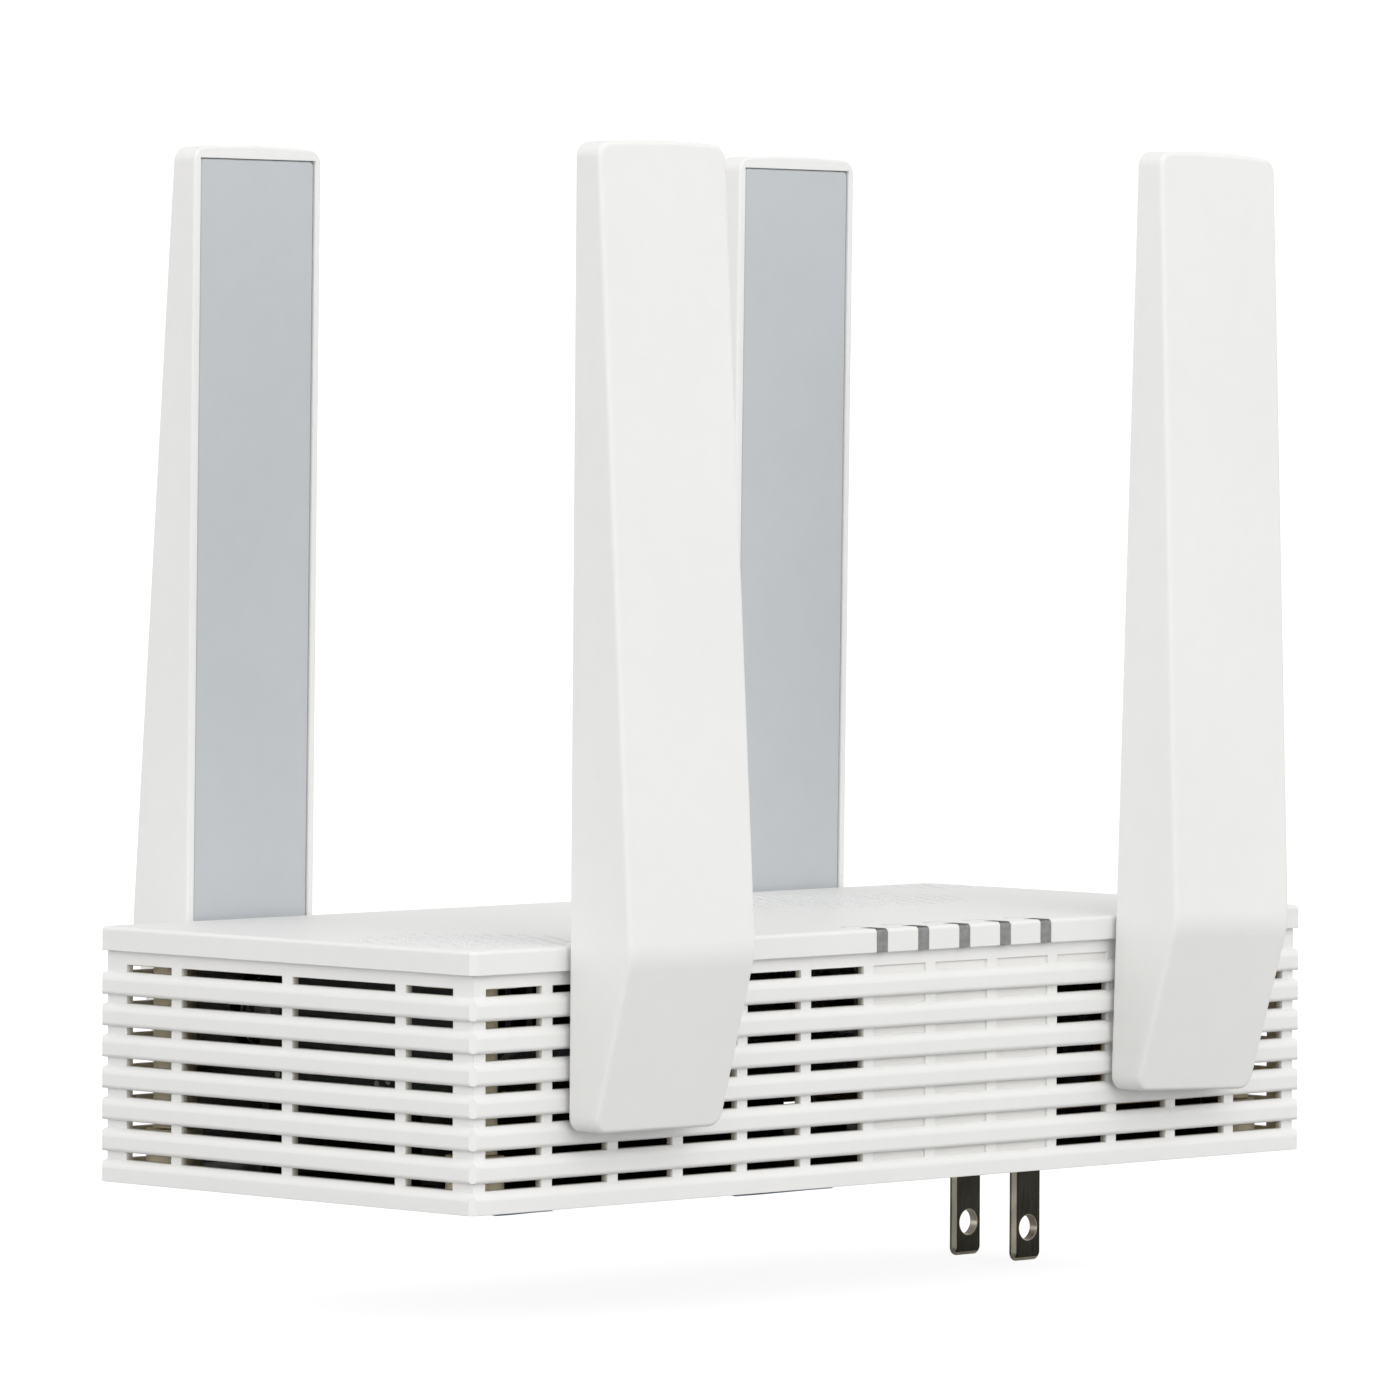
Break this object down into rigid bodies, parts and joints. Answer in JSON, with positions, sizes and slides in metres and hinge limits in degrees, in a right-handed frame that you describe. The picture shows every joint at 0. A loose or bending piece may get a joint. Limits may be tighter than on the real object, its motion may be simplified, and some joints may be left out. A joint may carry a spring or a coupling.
{
  "type": "wifi range extender",
  "caption": "Wall-plug wireless range extender: flat white box with ribbed, slotted sides, flat plug blades and paddle antennas that pivot on both long sides.",
  "frame": {"origin": "on the wall face, midway between the two plug blades", "axes": "+X along the long side towards the plug end, +Y towards the side with the network socket, +Z away from the wall"},
  "size_m": [0.175, 0.1062, 0.1701],
  "materials": {
    "housing": "satin",
    "light_guide": "gloss",
    "steel": "satin",
    "label": "satin",
    "insulator": "satin",
    "blade": "satin",
    "antenna_plastic": "satin",
    "antenna_panel": "matte",
    "radiator": "satin",
    "hub_plastic": "satin",
    "coax": "matte",
    "washer": "satin",
    "gold": "polished",
    "board": "satin",
    "supply_board": "satin",
    "tinplate": "satin",
    "chip": "matte",
    "thermal_pad": "matte",
    "heat_sink": "satin",
    "status_light": "gloss",
    "ferrite": "matte",
    "winding_tape": "satin",
    "capacitor": "satin",
    "film_capacitor": "satin",
    "choke": "satin",
    "fuse": "clear",
    "lead_wire": "satin",
    "header": "satin",
    "socket_plastic": "satin",
    "button": "satin",
    "plunger": "satin",
    "switch_case": "satin"
  },
  "bodies": {
    "body": {"base_shell": "housing", "top_cover": "housing", "light_guides": "light_guide", "cover_screws": "steel", "serial_label": "label", "rating_label": "label", "plug_carrier": "insulator", "blade_front": "blade", "blade_back": "blade", "coax_lead_front_left": "coax", "coax_lead_front_right": "coax", "coax_lead_back_left": "coax", "coax_lead_back_right": "coax", "friction_washers": "washer", "antenna_sockets": "gold", "main_board": "board", "supply_board": "supply_board", "board_screws": "steel", "radio_shield_left": "tinplate", "radio_shield_right": "tinplate", "processor": "chip", "thermal_pad": "thermal_pad", "heat_sink": "heat_sink", "memory_chips": "chip", "network_transformer": "chip", "status_lights": "status_light", "transformer_core": "ferrite", "transformer_winding": "winding_tape", "electrolytic_capacitors": "capacitor", "interference_capacitor": "film_capacitor", "mains_choke": "choke", "mains_fuse": "fuse", "bridge_rectifier": "chip", "supply_lead": "lead_wire", "supply_header": "header", "network_socket": "socket_plastic", "socket_contacts": "gold", "pairing_switch": "switch_case"},
    "antenna_front_left": {"antenna_shell_front_left": "antenna_plastic", "antenna_panel_front_left": "antenna_panel", "antenna_radiator_front_left": "radiator", "antenna_hub_front_left": "hub_plastic", "retaining_ring_front_left": "steel"},
    "antenna_front_right": {"antenna_shell_front_right": "antenna_plastic", "antenna_panel_front_right": "antenna_panel", "antenna_radiator_front_right": "radiator", "antenna_hub_front_right": "hub_plastic", "retaining_ring_front_right": "steel"},
    "antenna_back_left": {"antenna_shell_back_left": "antenna_plastic", "antenna_panel_back_left": "antenna_panel", "antenna_radiator_back_left": "radiator", "antenna_hub_back_left": "hub_plastic", "retaining_ring_back_left": "steel"},
    "antenna_back_right": {"antenna_shell_back_right": "antenna_plastic", "antenna_panel_back_right": "antenna_panel", "antenna_radiator_back_right": "radiator", "antenna_hub_back_right": "hub_plastic", "retaining_ring_back_right": "steel"},
    "button": {"pairing_button": "button", "switch_plunger": "plunger"}
  },
  "joints": [
    {"name": "antenna_front_left_pivot", "type": "hinge", "parent": "body", "child": "antenna_front_left", "pos_m": [-0.1183, -0.0408, 0.0236], "axis": [0, 1, 0], "range_deg": [-90.3, 14.7]},
    {"name": "antenna_front_right_pivot", "type": "hinge", "parent": "body", "child": "antenna_front_right", "pos_m": [-0.0047, -0.0408, 0.0236], "axis": [0, 1, 0], "range_deg": [-17, 88]},
    {"name": "antenna_back_left_pivot", "type": "hinge", "parent": "body", "child": "antenna_back_left", "pos_m": [-0.1183, 0.0408, 0.0236], "axis": [0, 1, 0], "range_deg": [-90.6, 14.4]},
    {"name": "antenna_back_right_pivot", "type": "hinge", "parent": "body", "child": "antenna_back_right", "pos_m": [-0.0047, 0.0408, 0.0236], "axis": [0, 1, 0], "range_deg": [-15.7, 89.3]},
    {"name": "pairing_button_press", "type": "slide", "parent": "body", "child": "button", "axis": [0, -1, 0], "range_m": [0, 0.0005], "stiffness_N_per_m": 4000, "springref_m": -0.00025}
  ]
}
